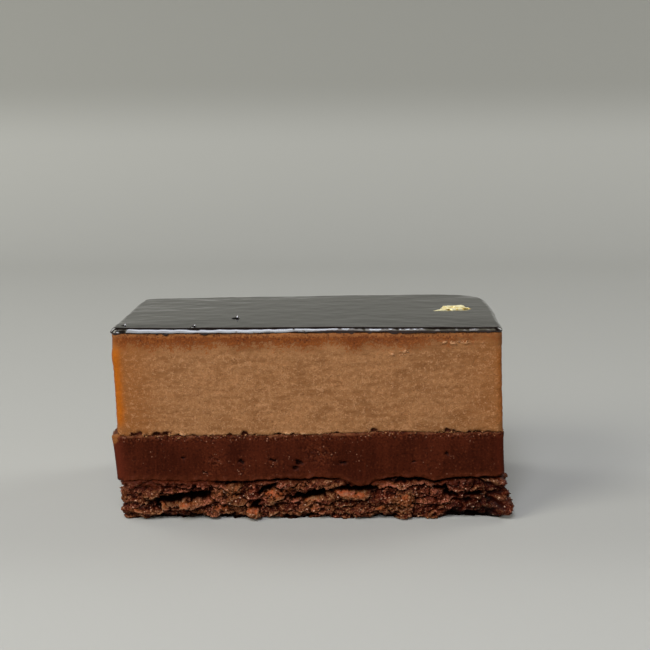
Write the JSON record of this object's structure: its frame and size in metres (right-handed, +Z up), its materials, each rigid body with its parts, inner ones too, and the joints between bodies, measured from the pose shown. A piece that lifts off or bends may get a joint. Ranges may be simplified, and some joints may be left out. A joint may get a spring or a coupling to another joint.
{
  "type": "chocolate passion fruit pastry",
  "caption": "Rectangular layered chocolate pastry: craggy biscuit base, dark ganache, thick milk chocolate mousse and a dark mirror glaze with a fleck of gold leaf.",
  "frame": {"origin": "middle of the underside, where the pastry rests", "axes": "+Z up through the layers, +X along the length, towards the end with the gold leaf, and -Y out of the cut front"},
  "size_m": [0.08, 0.0483, 0.0396],
  "materials": {
    "biscuit": "crumbly baked chocolate biscuit",
    "ganache": "smooth dark ganache with a knife-cut satin face",
    "mousse": "fine-pored milk chocolate mousse, matte",
    "glaze": "dark chocolate mirror glaze, high gloss",
    "gold_leaf": "crumpled edible gold leaf"
  },
  "bodies": {
    "root": {"biscuit": "biscuit", "ganache": "ganache", "mousse": "mousse", "glaze": "glaze"}
  },
  "joints": []
}
